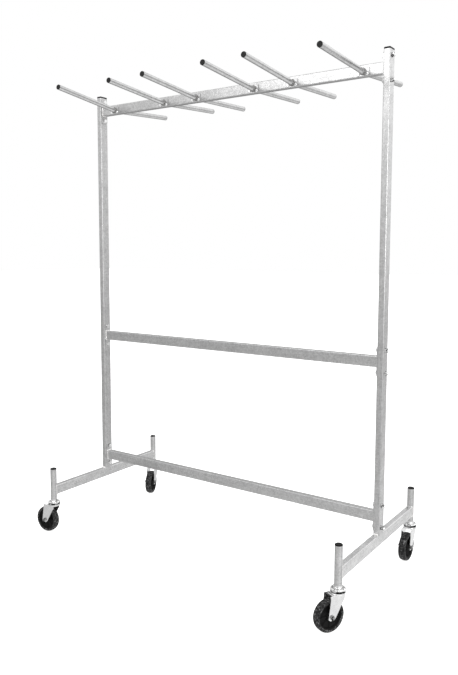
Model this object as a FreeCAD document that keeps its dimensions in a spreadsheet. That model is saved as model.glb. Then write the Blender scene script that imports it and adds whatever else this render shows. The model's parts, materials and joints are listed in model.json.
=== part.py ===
import FreeCAD, Part
import math
import os
import re

import Sketcher

# A clothes rack on four swivel casters, in millimetres.
#
# The origin lies on the floor under the middle of the rack. +Z is up, the rails run along X and
# the arms along Y. "Front" is -Y and "left" is -X.

DRIVING_DIMENSIONS = {
    # One rectangular tube serves for posts, rails and legs.
    "tube_width": 38.0,
    "tube_thickness": 22.0,
    "tube_wall": 1.5,
    "tube_corner": 3.0,
    # Frame
    "overall_height": 1780.0,
    "post_spacing": 1264.0,
    "top_rail_height": 1719.0,
    "middle_rail_height": 778.0,
    "bottom_rail_height": 253.0,
    "leg_height": 176.0,
    "cap_thickness": 6.0,
    "plug_depth": 10.0,
    "plug_clearance": 0.1,
    "weld_size": 3.0,
    "weld_toe": 0.3,
    # Bolted ends of the rails
    "end_plate_length": 100.0,
    "end_plate_width": 30.0,
    "end_plate_thickness": 3.0,
    "rail_bolt_offset": 38.0,
    "rail_bolt_diameter": 8.0,
    "rail_bolt_clearance": 0.5,
    "rail_bolt_tail": 3.0,
    "rail_nut_height": 6.5,
    "washer_diameter": 16.0,
    "washer_thickness": 1.6,
    # Sockets at the ends of the legs
    "socket_spacing": 610.0,
    "socket_diameter": 25.0,
    "socket_wall": 1.5,
    "socket_length": 124.0,
    "sleeve_length": 60.0,
    # Arms
    "arm_diameter": 19.0,
    "arm_wall": 1.5,
    "arm_length": 302.0,
    "arm_height": 1716.0,
    "round_cap_length": 3.5,
    "arm_weld_size": 2.0,
    "front_arm_rise": 5.0,
    "rear_arm_rise": 3.6,
    "raised_arm_gain": 2.0,
    "sagging_arm_loss": 2.3,
    "slack_arm_loss": 1.4,
    "inner_arm_offset": 129.0,
    "middle_arm_offset": 287.0,
    "outer_arm_offset": 549.0,
    "foot_plate_width": 46.0,
    "foot_plate_height": 28.0,
    "foot_plate_thickness": 3.0,
    "arm_bolt_offset": 15.0,
    "arm_bolt_drop": 8.5,
    "arm_bolt_diameter": 6.0,
    "arm_bolt_clearance": 0.25,
    "arm_nut_height": 5.0,
    "button_head_diameter": 10.5,
    "button_head_height": 3.3,
    # Hexagon sizes of the M8 and M6 fasteners
    "large_hex_flats": 13.0,
    "large_hex_head": 5.3,
    "small_hex_flats": 10.0,
    "hex_bevel": 0.8,
    # Casters
    "caster_height": 138.0,
    "caster_trail": 34.5,
    "wheel_diameter": 102.0,
    "tread_width": 26.0,
    "tyre_depth": 11.0,
    "tyre_shoulder": 5.0,
    "web_thickness": 8.0,
    "hub_diameter": 26.0,
    "bush_diameter": 12.0,
    "axle_diameter": 8.0,
    "small_edge": 1.0,
    "stem_diameter": 11.0,
    "collar_diameter": 24.0,
    "race_diameter": 47.0,
    "ball_diameter": 6.0,
    "ball_ring_diameter": 32.0,
    "skirt_wall": 2.5,
    "skirt_height": 9.5,
    "skirt_slope": 3.0,
    "kingpin_diameter": 10.0,
    "kingpin_head_diameter": 16.0,
    "kingpin_head_height": 5.0,
    "fork_width": 38.0,
    "fork_plate": 2.5,
    "fork_bend": 4.0,
    "fork_foot_width": 26.0,
    "fork_foot_drop": 9.5,
    "crown_height": 116.0,
    "crown_plate": 3.0,
    "crown_front": 12.0,
    "crown_overhang": 5.0,
    "crown_side": 12.0,
    "axle_nut_height": 8.0,
    "running_gap": 0.05,
    "turning_gap": 0.5,
}

# Places of the four casters: side along X, side along Y, and the way the wheel trails at rest.
CASTERS = {
    "fl": (-1, -1, 185.0),
    "fr": (1, -1, 243.0),
    "rl": (-1, 1, 293.0),
    "rr": (1, 1, 270.0),
}

CORNERS = tuple(place[:2] for place in CASTERS.values())

RAILS = {
    "top_rail": "top_rail_height",
    "middle_rail": "middle_rail_height",
    "bottom_rail": "bottom_rail_height",
}

# Places of the arm pairs along the top rail, with the rise of the front and of the rear arm.
# The bolted arms don't all rise alike.
ARMS = (
    ("-outer_arm_offset", "front_arm_rise + raised_arm_gain", "rear_arm_rise"),
    ("-middle_arm_offset", "front_arm_rise", "rear_arm_rise"),
    ("-inner_arm_offset", "front_arm_rise", "rear_arm_rise - slack_arm_loss"),
    ("inner_arm_offset", "front_arm_rise", "rear_arm_rise - slack_arm_loss"),
    ("middle_arm_offset", "front_arm_rise", "rear_arm_rise - slack_arm_loss"),
    ("outer_arm_offset", "front_arm_rise - sagging_arm_loss", "rear_arm_rise + slack_arm_loss / 2"),
)

ARM_PLACES = tuple(arm[0] for arm in ARMS)

# Lengths worked out from the driving dimensions.
LEG_TOP = "(leg_height + tube_width / 2)"
TUBE_TOP = "(overall_height - cap_thickness)"
PLATE_FACE = "(post_spacing / 2 - tube_thickness / 2 - end_plate_thickness)"
SOCKET_INNER_DIAMETER = "(socket_diameter - 2 * socket_wall)"
ARM_INNER_DIAMETER = "(arm_diameter - 2 * arm_wall)"
AXLE_HEIGHT = "(wheel_diameter / 2)"
FORK_GAP = "(fork_width - 2 * fork_plate)"
RAIL_BOLT_HOLE = "(rail_bolt_diameter + 2 * rail_bolt_clearance)"
ARM_BOLT_HOLE = "(arm_bolt_diameter + 2 * arm_bolt_clearance)"
ARM_BOLT_HEIGHT = "(arm_height - arm_bolt_drop)"

BALL_COUNT = 14
HEX_SIDES = 6
X_DIRECTION = FreeCAD.Vector(1, 0, 0)
Y_DIRECTION = FreeCAD.Vector(0, 1, 0)
Z_DIRECTION = FreeCAD.Vector(0, 0, 1)

doc = FreeCAD.newDocument("ClothesRack")
sheet = doc.addObject("Spreadsheet::Sheet", "Dimensions")
nodes = {}


def fill_sheet():
    """Write every driving dimension and its alias into the spreadsheet."""
    for row, (alias, number) in enumerate(DRIVING_DIMENSIONS.items(), start=1):
        sheet.set("A%d" % row, alias)
        sheet.set("B%d" % row, str(number))
        sheet.setAlias("B%d" % row, alias)
    doc.recompute()


def bound(expression):
    """The same expression, with every alias pointing into the spreadsheet."""
    return re.sub(
        r"[a-z]+(?:_[a-z]+)+",
        lambda match: "<<Dimensions>>.%s" % match.group(0),
        expression,
    )


def value(expression):
    """The number that an expression of driving dimensions gives."""
    return float(sheet.evalExpression(expression))


def point(x, y, z):
    return FreeCAD.Vector(value(x), value(y), value(z))


# ---------------------------------------------------------------------------
# Sketches


def new_body(label):
    body = doc.addObject("PartDesign::Body", label)
    body.Label = label
    return body


def origin_feature(body, role):
    return next(item for item in body.Origin.OriginFeatures if item.Role == role)


def new_sketch(body, plane, offset="0", tilt=None):
    """A sketch on one of the body's planes, moved along its normal and tilted about its x axis."""
    sketch = body.newObject("Sketcher::SketchObject", body.Label + "_sketch")
    sketch.AttachmentSupport = (origin_feature(body, plane), [""])
    sketch.MapMode = "FlatFace"
    if tilt:
        sketch.AttachmentOffset = FreeCAD.Placement(
            FreeCAD.Vector(), FreeCAD.Rotation(X_DIRECTION, value(tilt))
        )
        sketch.setExpression("AttachmentOffset.Rotation.Angle", bound(tilt))
    if offset != "0":
        sketch.setExpression("AttachmentOffset.Base.z", bound(offset))
    return sketch


def bind(sketch, constraint, expression):
    index = sketch.addConstraint(constraint)
    sketch.setExpression("Constraints[%d]" % index, bound(expression))


def outline(sketch, corners):
    """A closed outline of straight sides through corners given as pairs of expressions."""
    points = [point(x, y, "0") for x, y in corners]
    first = sketch.GeometryCount
    count = len(points)
    for index in range(count):
        line = Part.LineSegment(points[index], points[(index + 1) % count])
        sketch.addGeometry(line, False)
    for index in range(count):
        following = first + (index + 1) % count
        sketch.addConstraint(Sketcher.Constraint("Coincident", first + index, 2, following, 1))
    for index, (x, y) in enumerate(corners):
        side = first + index
        across = Sketcher.Constraint("DistanceX", -1, 1, side, 1, points[index].x)
        upward = Sketcher.Constraint("DistanceY", -1, 1, side, 1, points[index].y)
        bind(sketch, across, x)
        bind(sketch, upward, y)


def rectangle(sketch, width, height):
    """A rectangle centred on the sketch's origin."""
    half_width = "(%s) / 2" % width
    half_height = "(%s) / 2" % height
    outline(
        sketch,
        [
            ("-" + half_width, "-" + half_height),
            (half_width, "-" + half_height),
            (half_width, half_height),
            ("-" + half_width, half_height),
        ],
    )


def circle(sketch, diameter, x="0", y="0"):
    index = sketch.GeometryCount
    centre = point(x, y, "0")
    radius = value(diameter) / 2
    sketch.addGeometry(Part.Circle(centre, Z_DIRECTION, radius), False)
    bind(sketch, Sketcher.Constraint("DistanceX", -1, 1, index, 3, centre.x), x)
    bind(sketch, Sketcher.Constraint("DistanceY", -1, 1, index, 3, centre.y), y)
    bind(sketch, Sketcher.Constraint("Diameter", index, 2 * radius), diameter)


def hexagon(sketch, across_flats):
    """A hexagon centred on the sketch's origin, with two corners on its x axis."""
    corners = []
    for index in range(HEX_SIDES):
        turn = "%d deg" % (index * 360 // HEX_SIDES)
        radius = "(%s) / sqrt(3)" % across_flats
        corners.append(("%s * cos(%s)" % (radius, turn), "%s * sin(%s)" % (radius, turn)))
    outline(sketch, corners)


# ---------------------------------------------------------------------------
# Features


def finish_feature(body, feature, sketch):
    if sketch is not None:
        feature.Profile = sketch
        sketch.Visibility = False
    body.Tip = feature
    doc.recompute()
    return feature


def pad(body, sketch, length, symmetric=False, backward=False):
    feature = body.newObject("PartDesign::Pad", body.Label + "_pad")
    feature.Profile = sketch
    feature.SideType = "Symmetric" if symmetric else "One side"
    feature.Reversed = backward
    feature.setExpression("Length", bound(length))
    return finish_feature(body, feature, sketch)


def pocket(body, sketch, length=None, symmetric=False, backward=False):
    """Cut a sketch out of the body, right through unless a length is given."""
    before = body.Shape.Volume
    feature = body.newObject("PartDesign::Pocket", body.Label + "_pocket")
    feature.Profile = sketch
    feature.SideType = "Symmetric" if symmetric else "One side"
    feature.Reversed = backward
    if length is None:
        feature.Type = "ThroughAll"
    else:
        feature.setExpression("Length", bound(length))
    finish_feature(body, feature, sketch)
    if body.Shape.Volume > before - 1e-3:
        raise RuntimeError("A pocket of %s cuts nothing" % body.Label)
    return feature


def revolve(body, sketch, axis):
    feature = body.newObject("PartDesign::Revolution", body.Label + "_revolution")
    feature.Profile = sketch
    feature.ReferenceAxis = (origin_feature(body, axis), [""])
    feature.Angle = 360
    return finish_feature(body, feature, sketch)


def edge_names(body, wanted):
    """Names of the body's edges that a test accepts."""
    return [
        "Edge%d" % number
        for number, edge in enumerate(body.Tip.Shape.Edges, start=1)
        if wanted(edge)
    ]


def dress(body, kind, size, wanted):
    """Round (kind Fillet) or bevel (kind Chamfer) the edges that a test accepts."""
    names = edge_names(body, wanted)
    if not names:
        raise RuntimeError("No edges to dress on %s" % body.Label)
    feature = body.newObject("PartDesign::" + kind, body.Label + "_" + kind.lower())
    feature.Base = (feature.BaseFeature or body.Tip, names)
    feature.setExpression("Radius" if kind == "Fillet" else "Size", bound(size))
    return finish_feature(body, feature, None)


def runs_along(edge, direction):
    """True for a straight edge along a direction."""
    if not isinstance(edge.Curve, Part.Line):
        return False
    return abs(abs(edge.tangentAt(edge.FirstParameter).dot(direction)) - 1) < 1e-6


def is_circle(edge, radius):
    """True for a circular edge of one radius."""
    return isinstance(edge.Curve, Part.Circle) and abs(edge.Curve.Radius - radius) < 1e-4


def lies_at(edge, axis, level):
    """True when an edge lies in the plane at one level of X (0), Y (1) or Z (2)."""
    box = edge.BoundBox
    low = (box.XMin, box.YMin, box.ZMin)[axis]
    high = (box.XMax, box.YMax, box.ZMax)[axis]
    return abs(low - level) < 1e-4 and abs(high - level) < 1e-4


# ---------------------------------------------------------------------------
# Placing


def place(item, x="0", y="0", z="0", turn="0", axis=Z_DIRECTION):
    """Move an object to a point and turn it about an axis through its own origin."""
    rotation = FreeCAD.Rotation(axis, value(turn))
    item.Placement = FreeCAD.Placement(point(x, y, z), rotation)
    for letter, expression in (("x", x), ("y", y), ("z", z)):
        item.setExpression("Placement.Base." + letter, bound(expression))
    if turn != "0":
        item.setExpression("Placement.Rotation.Angle", bound(turn))
    return item


def keep(item, label=None):
    """Mark an object as one of the rack's nodes."""
    if label:
        item.Label = label
    nodes[item.Label] = item
    return item


def group(label, members):
    """One node that holds several separate solids."""
    compound = doc.addObject("Part::Compound", label)
    compound.Links = members
    return keep(compound, label)


def copies(label, master, placements):
    """One node that holds a copy of the master's solid at each placement."""
    solids = []
    for placement in placements:
        solid = master.Shape.copy()
        solid.Placement = placement.multiply(master.Shape.Placement)
        solids.append(solid)
    feature = doc.addObject("Part::Feature", label)
    feature.Shape = Part.makeCompound(solids)
    return keep(feature, label)


def facing(x, y, z, direction):
    """A placement at a point whose own +Z points along a direction."""
    return FreeCAD.Placement(point(x, y, z), FreeCAD.Rotation(Z_DIRECTION, direction))


# ---------------------------------------------------------------------------
# Frame


def tube(label, plane, width, height, length, along, symmetric=False):
    """A rectangular tube with rounded corners, extruded from one of the body's planes."""
    body = new_body(label)
    outer = new_sketch(body, plane)
    rectangle(outer, width, height)
    pad(body, outer, length, symmetric)
    dress(body, "Fillet", "tube_corner", lambda edge: runs_along(edge, along))
    inner = new_sketch(body, plane)
    rectangle(inner, width + " - 2 * tube_wall", height + " - 2 * tube_wall")
    pocket(body, inner, symmetric=symmetric, backward=not symmetric)
    dress(
        body,
        "Fillet",
        "tube_corner - tube_wall",
        lambda edge: runs_along(edge, along) and is_inner(body, edge),
    )
    return body


def is_inner(body, edge):
    """True for an edge inside the walls of a tube, away from its outer faces."""
    box = body.Tip.Shape.BoundBox
    middle = edge.CenterOfMass
    gaps = (middle.x - box.XMin, box.XMax - middle.x, middle.y - box.YMin, box.YMax - middle.y)
    heights = (middle.z - box.ZMin, box.ZMax - middle.z)
    wall = value("tube_wall")
    near = [gap for gap in gaps + heights if abs(gap - wall) < 1e-4]
    return len(near) >= 2


def rail_bolt_levels():
    """Heights of all the bolts through a post, as expressions."""
    return [
        "%s %s rail_bolt_offset" % (height, sign)
        for height in RAILS.values()
        for sign in ("-", "+")
    ]


def make_post(label, side):
    """An upright, from the top of its leg to the plug, drilled for the rail bolts."""
    body = tube(
        label, "XY_Plane", "tube_thickness", "tube_width", TUBE_TOP + " - " + LEG_TOP, Z_DIRECTION
    )
    holes = new_sketch(body, "YZ_Plane")
    for level in rail_bolt_levels():
        circle(holes, RAIL_BOLT_HOLE, y=level + " - " + LEG_TOP)
    pocket(body, holes, symmetric=True)
    return keep(place(body, "%d * post_spacing / 2" % side, z=LEG_TOP))


def make_post_plug(side):
    """A plastic plug: a rounded cap over the post's end and a block that fills the tube below."""
    body = new_body("post_plug_%s" % ("left" if side < 0 else "right"))
    head = new_sketch(body, "XY_Plane")
    rectangle(head, "tube_thickness", "tube_width")
    pad(body, head, "cap_thickness")
    dress(body, "Fillet", "tube_corner", lambda edge: runs_along(edge, Z_DIRECTION))
    top = value("cap_thickness")
    dress(body, "Fillet", "cap_thickness / 4", lambda edge: lies_at(edge, 2, top))
    block = new_sketch(body, "XY_Plane")
    gap = " - 2 * tube_wall - 2 * plug_clearance"
    rectangle(block, "tube_thickness" + gap, "tube_width" + gap)
    pad(body, block, "plug_depth", backward=True)
    depth = -value("plug_depth")
    dress(
        body,
        "Chamfer",
        "tube_corner / 2",
        lambda edge: runs_along(edge, Z_DIRECTION) and edge.BoundBox.ZMin < depth / 2,
    )
    return place(body, "%d * post_spacing / 2" % side, z=TUBE_TOP)


def make_rail(label):
    """A rail between the end plates. The top one is drilled for the arm bolts."""
    body = tube(
        label,
        "YZ_Plane",
        "tube_thickness",
        "tube_width",
        "2 * " + PLATE_FACE,
        X_DIRECTION,
        symmetric=True,
    )
    if label == "top_rail":
        holes = new_sketch(body, "XZ_Plane")
        for where in arm_bolt_places():
            circle(holes, ARM_BOLT_HOLE, where, ARM_BOLT_HEIGHT + " - top_rail_height")
        pocket(body, holes, symmetric=True)
    return keep(place(body, z=RAILS[label]))


def arm_bolt_places():
    """Places along the top rail of all the bolts that hold the arms, as expressions."""
    return ["%s %s arm_bolt_offset" % (x, sign) for x in ARM_PLACES for sign in "-+"]


def make_end_plate():
    """The plate welded across the end of a rail, with two bolt holes."""
    body = new_body("end_plate_pattern")
    face = new_sketch(body, "YZ_Plane")
    rectangle(face, "end_plate_width", "end_plate_length")
    pad(body, face, "end_plate_thickness")
    dress(body, "Fillet", "end_plate_width / 4", lambda edge: runs_along(edge, X_DIRECTION))
    holes = new_sketch(body, "YZ_Plane")
    for sign in "-+":
        circle(holes, RAIL_BOLT_HOLE, y=sign + "rail_bolt_offset")
    pocket(body, holes, symmetric=True)
    return body


def make_rail_bead():
    """The weld bead around a rail where it meets its end plate."""
    body = new_body("rail_bead_pattern")
    outer = new_sketch(body, "YZ_Plane")
    rectangle(outer, "tube_thickness + 2 * weld_size", "tube_width + 2 * weld_size")
    pad(body, outer, "weld_size")
    dress(
        body, "Fillet", "tube_corner + weld_size", lambda edge: runs_along(edge, X_DIRECTION)
    )
    front = value("weld_size")
    dress(body, "Chamfer", "weld_size - weld_toe", lambda edge: lies_at(edge, 0, front))
    inner = new_sketch(body, "YZ_Plane")
    rectangle(inner, "tube_thickness", "tube_width")
    pocket(body, inner, symmetric=True)
    return body


def rail_end_placements(distance):
    """A placement at each end of each rail, at a distance from the middle, facing inward."""
    placements = []
    for height in RAILS.values():
        for side in (-1, 1):
            rotation = FreeCAD.Rotation(Z_DIRECTION, 0 if side < 0 else 180)
            where = point("%d * %s" % (side, distance), "0", height)
            placements.append(FreeCAD.Placement(where, rotation))
    return placements


def make_straight_bead(label, length):
    """A weld bead along X in the corner between a floor at z = 0 and a wall at y = 0."""
    body = new_body(label)
    section = new_sketch(body, "YZ_Plane")
    outline(section, [("0", "0"), ("-weld_size", "0"), ("0", "weld_size")])
    pad(body, section, length, symmetric=True)
    return body


def foot_bead_placements():
    """In front of and behind each post, on top of its leg."""
    placements = []
    for side in (-1, 1):
        for turn, y in ((0, "-tube_width / 2"), (180, "tube_width / 2")):
            where = point("%d * post_spacing / 2" % side, y, LEG_TOP)
            placements.append(FreeCAD.Placement(where, FreeCAD.Rotation(Z_DIRECTION, turn)))
    return placements


def make_leg(label, side):
    """A leg tube across the rack, with both ends cut to the round sockets."""
    body = new_body(label)
    outer = new_sketch(body, "XZ_Plane")
    rectangle(outer, "tube_thickness", "tube_width")
    pad(body, outer, "socket_spacing", symmetric=True)
    dress(body, "Fillet", "tube_corner", lambda edge: runs_along(edge, Y_DIRECTION))
    inner = new_sketch(body, "XZ_Plane")
    rectangle(inner, "tube_thickness - 2 * tube_wall", "tube_width - 2 * tube_wall")
    pocket(body, inner, symmetric=True)
    ends = new_sketch(body, "XY_Plane")
    for sign in "-+":
        circle(ends, "socket_diameter", y=sign + "socket_spacing / 2")
    pocket(body, ends, symmetric=True)
    return keep(place(body, "%d * post_spacing / 2" % side, z="leg_height"))


def corner_name(side_x, side_y):
    return "%s_%s" % ("front" if side_y < 0 else "rear", "left" if side_x < 0 else "right")


def corner_place(side_x, side_y):
    """Expressions for the x and y of the socket and caster at one corner."""
    return "%d * post_spacing / 2" % side_x, "%d * socket_spacing / 2" % side_y


def make_socket(side_x, side_y):
    """An upright round tube that a leg is welded to and a caster stem fits into."""
    body = new_body("socket_" + corner_name(side_x, side_y))
    ring = new_sketch(body, "XY_Plane")
    circle(ring, "socket_diameter")
    circle(ring, SOCKET_INNER_DIAMETER)
    pad(body, ring, "socket_length")
    x, y = corner_place(side_x, side_y)
    return keep(place(body, x, y, "caster_height"))


def corner_placements(height):
    return [
        FreeCAD.Placement(point(*corner_place(side_x, side_y), height), FreeCAD.Rotation())
        for side_x, side_y in CORNERS
    ]


def make_round_plug(label, diameter, inner_diameter, cap, depth):
    """A domed plug for a round tube, with its shoulder at z = 0 and the dome above."""
    body = new_body(label)
    head = new_sketch(body, "XY_Plane")
    circle(head, diameter)
    pad(body, head, cap)
    top = value(cap)
    dress(body, "Fillet", cap + " * 0.6", lambda edge: lies_at(edge, 2, top))
    block = new_sketch(body, "XY_Plane")
    circle(block, inner_diameter + " - 2 * plug_clearance")
    pad(body, block, depth, backward=True)
    return body


def make_stem_sleeve():
    """The plastic sleeve that holds a caster stem in its socket."""
    body = new_body("stem_sleeve_pattern")
    ring = new_sketch(body, "XY_Plane")
    circle(ring, SOCKET_INNER_DIAMETER + " - 2 * plug_clearance")
    circle(ring, "stem_diameter + 2 * plug_clearance")
    pad(body, ring, "sleeve_length")
    return body


def hex_bolt(label, diameter, length):
    """An M8 bolt with its head below z = 0 and its shank upward from there."""
    body = new_body(label)
    head = new_sketch(body, "XY_Plane")
    hexagon(head, "large_hex_flats")
    pad(body, head, "large_hex_head", backward=True)
    end = -value("large_hex_head")
    dress(body, "Chamfer", "hex_bevel", lambda edge: lies_at(edge, 2, end))
    shank = new_sketch(body, "XY_Plane")
    circle(shank, diameter)
    pad(body, shank, length)
    tip = value(length)
    dress(body, "Chamfer", "hex_bevel", lambda edge: lies_at(edge, 2, tip))
    return body


def hex_nut(label, bore, across_flats, height):
    """A nut on z = 0 that rises to its height."""
    body = new_body(label)
    sides = new_sketch(body, "XY_Plane")
    hexagon(sides, across_flats)
    pad(body, sides, height)
    top = value(height)
    dress(body, "Chamfer", "hex_bevel", lambda edge: lies_at(edge, 2, top))
    hole = new_sketch(body, "XY_Plane")
    circle(hole, bore)
    pocket(body, hole, symmetric=True)
    return body


def washer(label, bore):
    body = new_body(label)
    ring = new_sketch(body, "XY_Plane")
    circle(ring, "washer_diameter")
    circle(ring, bore)
    pad(body, ring, "washer_thickness")
    return body


def make_rail_fasteners():
    """Bolts out through the end plates and the posts, with washers under heads and nuts."""
    post_face = "(post_spacing / 2 + tube_thickness / 2)"
    head_seat = "(%s - washer_thickness)" % PLATE_FACE
    nut_seat = "(%s + washer_thickness)" % post_face
    length = "%s - %s + rail_nut_height + rail_bolt_tail" % (nut_seat, head_seat)
    bolt = hex_bolt("rail_bolt_pattern", "rail_bolt_diameter", length)
    nut = hex_nut("rail_nut_pattern", "rail_bolt_diameter", "large_hex_flats", "rail_nut_height")
    disc = washer("rail_washer_pattern", "rail_bolt_diameter + rail_bolt_clearance")
    bolts = []
    nuts = []
    washers = []
    for level in rail_bolt_levels():
        for side in (-1, 1):
            outward = X_DIRECTION * side
            bolts.append(facing("%d * %s" % (side, head_seat), "0", level, outward))
            nuts.append(facing("%d * %s" % (side, nut_seat), "0", level, outward))
            washers.append(facing("%d * %s" % (side, head_seat), "0", level, outward))
            washers.append(facing("%d * %s" % (side, post_face), "0", level, outward))
    copies("rail_bolts", bolt, bolts)
    copies("rail_nuts", nut, nuts)
    copies("rail_washers", disc, washers)


def make_weld_beads():
    """All weld beads of the frame, as one node of separate solids."""
    ring = make_rail_bead()
    foot = make_straight_bead("foot_bead_pattern", "tube_thickness - 2 * tube_corner")
    solids = []
    for master, placements in (
        (ring, rail_end_placements(PLATE_FACE)),
        (foot, foot_bead_placements()),
    ):
        for placement in placements:
            solid = master.Shape.copy()
            solid.Placement = placement
            solids.append(solid)
    feature = doc.addObject("Part::Feature", "weld_beads")
    feature.Shape = Part.makeCompound(solids)
    keep(feature)


def make_frame():
    for side, name in ((-1, "left"), (1, "right")):
        make_post(name + "_post", side)
        make_leg(name + "_leg", side)
    group("post_plugs", [make_post_plug(-1), make_post_plug(1)])
    for label in RAILS:
        make_rail(label)
    copies(
        "rail_end_plates",
        make_end_plate(),
        rail_end_placements("(%s + end_plate_thickness)" % PLATE_FACE),
    )
    make_weld_beads()
    make_rail_fasteners()
    for side_x, side_y in CORNERS:
        make_socket(side_x, side_y)
    cap = make_round_plug(
        "socket_cap_pattern", "socket_diameter", SOCKET_INNER_DIAMETER, "round_cap_length", "plug_depth"
    )
    copies("socket_caps", cap, corner_placements("caster_height + socket_length"))
    copies("stem_sleeves", make_stem_sleeve(), corner_placements("caster_height"))


# ---------------------------------------------------------------------------
# Arms


def make_arm(label, x, side, rise):
    """A round arm welded to a foot plate, with the plate's back on y = 0 and the arm to -Y."""
    body = new_body(label)
    plate = new_sketch(body, "XZ_Plane")
    rectangle(plate, "foot_plate_width", "foot_plate_height")
    pad(body, plate, "foot_plate_thickness")
    dress(body, "Fillet", "foot_plate_height / 5", lambda edge: runs_along(edge, Y_DIRECTION))
    holes = new_sketch(body, "XZ_Plane")
    for sign in "-+":
        circle(holes, ARM_BOLT_HOLE, sign + "arm_bolt_offset", "-arm_bolt_drop")
    pocket(body, holes, symmetric=True)
    root_depth = "foot_plate_thickness / 2"
    weld_diameter = "(arm_diameter + 2 * arm_weld_size)"
    for diameter, length in (
        (weld_diameter, "%s + 1.5 * arm_weld_size" % root_depth),
        ("arm_diameter", "arm_length - %s" % root_depth),
    ):
        ring = new_sketch(body, "XZ_Plane", offset=root_depth, tilt="-(%s)" % rise)
        circle(ring, diameter)
        circle(ring, ARM_INNER_DIAMETER)
        pad(body, ring, length)
    weld_radius = value(weld_diameter) / 2
    dress(body, "Fillet", "arm_weld_size * 0.95", lambda edge: is_circle(edge, weld_radius))
    turn = "0" if side < 0 else "180"
    back = "%d * tube_thickness / 2" % side
    return keep(place(body, x, back, "arm_height", turn))


def arm_tip(x, side, rise):
    """The placement of an arm's open end, with +Z out along the arm."""
    angle = math.radians(value(rise))
    direction = FreeCAD.Vector(0, side * math.cos(angle), math.sin(angle))
    root = point(x, "%d * (tube_thickness + foot_plate_thickness) / 2" % side, "arm_height")
    tip = root + direction * value("arm_length - foot_plate_thickness / 2")
    return FreeCAD.Placement(tip, FreeCAD.Rotation(Z_DIRECTION, direction))


def make_arm_fasteners():
    """Button-headed bolts through both foot plates and the rail, with nuts at the rear."""
    plate_face = "(tube_thickness / 2 + foot_plate_thickness)"
    length = "2 * %s + arm_nut_height + 2 * hex_bevel" % plate_face
    bolt = make_button_bolt("arm_bolt_pattern", length)
    nut = hex_nut("arm_nut_pattern", "arm_bolt_diameter", "small_hex_flats", "arm_nut_height")
    bolts = []
    nuts = []
    for where in arm_bolt_places():
        bolts.append(facing(where, "-" + plate_face, ARM_BOLT_HEIGHT, Y_DIRECTION))
        nuts.append(facing(where, plate_face, ARM_BOLT_HEIGHT, Y_DIRECTION))
    copies("arm_bolts", bolt, bolts)
    copies("arm_nuts", nut, nuts)


def make_button_bolt(label, length):
    """A bolt with a domed head below z = 0 and its shank upward from there."""
    body = new_body(label)
    head = new_sketch(body, "XY_Plane")
    circle(head, "button_head_diameter")
    pad(body, head, "button_head_height", backward=True)
    end = -value("button_head_height")
    dress(body, "Fillet", "button_head_height * 0.7", lambda edge: lies_at(edge, 2, end))
    shank = new_sketch(body, "XY_Plane")
    circle(shank, "arm_bolt_diameter")
    pad(body, shank, length)
    return body


def make_arms():
    tips = []
    for number, (x, front_rise, rear_rise) in enumerate(ARMS, start=1):
        make_arm("front_arm_%d" % number, x, -1, front_rise)
        make_arm("rear_arm_%d" % number, x, 1, rear_rise)
        tips.append(arm_tip(x, -1, front_rise))
        tips.append(arm_tip(x, 1, rear_rise))
    cap = make_round_plug(
        "arm_cap_pattern", "arm_diameter", ARM_INNER_DIAMETER, "round_cap_length", "plug_depth"
    )
    copies("arm_caps", cap, tips)
    make_arm_fasteners()


# ---------------------------------------------------------------------------
# Casters. Each piece is drawn with the swivel axis on Z and the wheel trailing towards +X.


def place_caster_piece(body, key):
    side_x, side_y, turn = CASTERS[key]
    x, y = corner_place(side_x, side_y)
    return keep(place(body, x, y, "0", str(turn)))


def make_stem(key):
    """The fixed part of a caster: stem, collar, upper race and kingpin in one turned piece."""
    body = new_body("caster_%s_stem" % key)
    profile = new_sketch(body, "XZ_Plane")
    race_radius = "race_diameter / 2"
    pin_radius = "kingpin_diameter / 2"
    head_radius = "kingpin_head_diameter / 2"
    collar_radius = "collar_diameter / 2"
    stem_radius = "stem_diameter / 2"
    head_top = "crown_height - crown_plate - turning_gap"
    head_bottom = "crown_height - crown_plate - kingpin_head_height"
    race_underside = "crown_height + crown_plate + ball_diameter + turning_gap"
    skirt_bottom = "crown_height + crown_plate + skirt_wall"
    skirt_top = "%s + skirt_height" % skirt_bottom
    stem_top = "caster_height + sleeve_length - 2 * small_edge"
    outline(
        profile,
        [
            ("0", head_bottom),
            (head_radius + " - small_edge", head_bottom),
            (head_radius, head_bottom + " + small_edge"),
            (head_radius, head_top),
            (pin_radius, head_top),
            (pin_radius, race_underside),
            (race_radius + " - skirt_wall", race_underside),
            (race_radius + " - skirt_wall", skirt_bottom),
            (race_radius, skirt_bottom),
            (race_radius, skirt_top + " - skirt_slope"),
            (race_radius + " - skirt_slope", skirt_top),
            (collar_radius + " + skirt_slope", skirt_top + " + small_edge"),
            (collar_radius, "caster_height - 2 * skirt_slope"),
            (collar_radius, "caster_height"),
            (stem_radius, "caster_height"),
            (stem_radius, stem_top + " - 3 * small_edge"),
            (stem_radius + " - 2 * small_edge", stem_top),
            ("0", stem_top),
        ],
    )
    revolve(body, profile, "Z_Axis")
    return place_caster_piece(body, key)


def make_balls(key):
    """The ring of balls between the races."""
    balls = []
    for index in range(BALL_COUNT):
        angle = 2 * math.pi * index / BALL_COUNT
        ball = doc.addObject("Part::Sphere", "caster_%s_ball_%d" % (key, index + 1))
        ball.setExpression("Radius", bound("ball_diameter / 2"))
        ring = value("ball_ring_diameter") / 2
        height = value("crown_height + crown_plate + ball_diameter / 2 + running_gap")
        where = FreeCAD.Vector(ring * math.cos(angle), ring * math.sin(angle), height)
        ball.Placement = FreeCAD.Placement(where, FreeCAD.Rotation())
        balls.append(ball)
    compound = doc.addObject("Part::Compound", "caster_%s_balls" % key)
    compound.Links = balls
    return place_caster_piece(compound, key)


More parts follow.
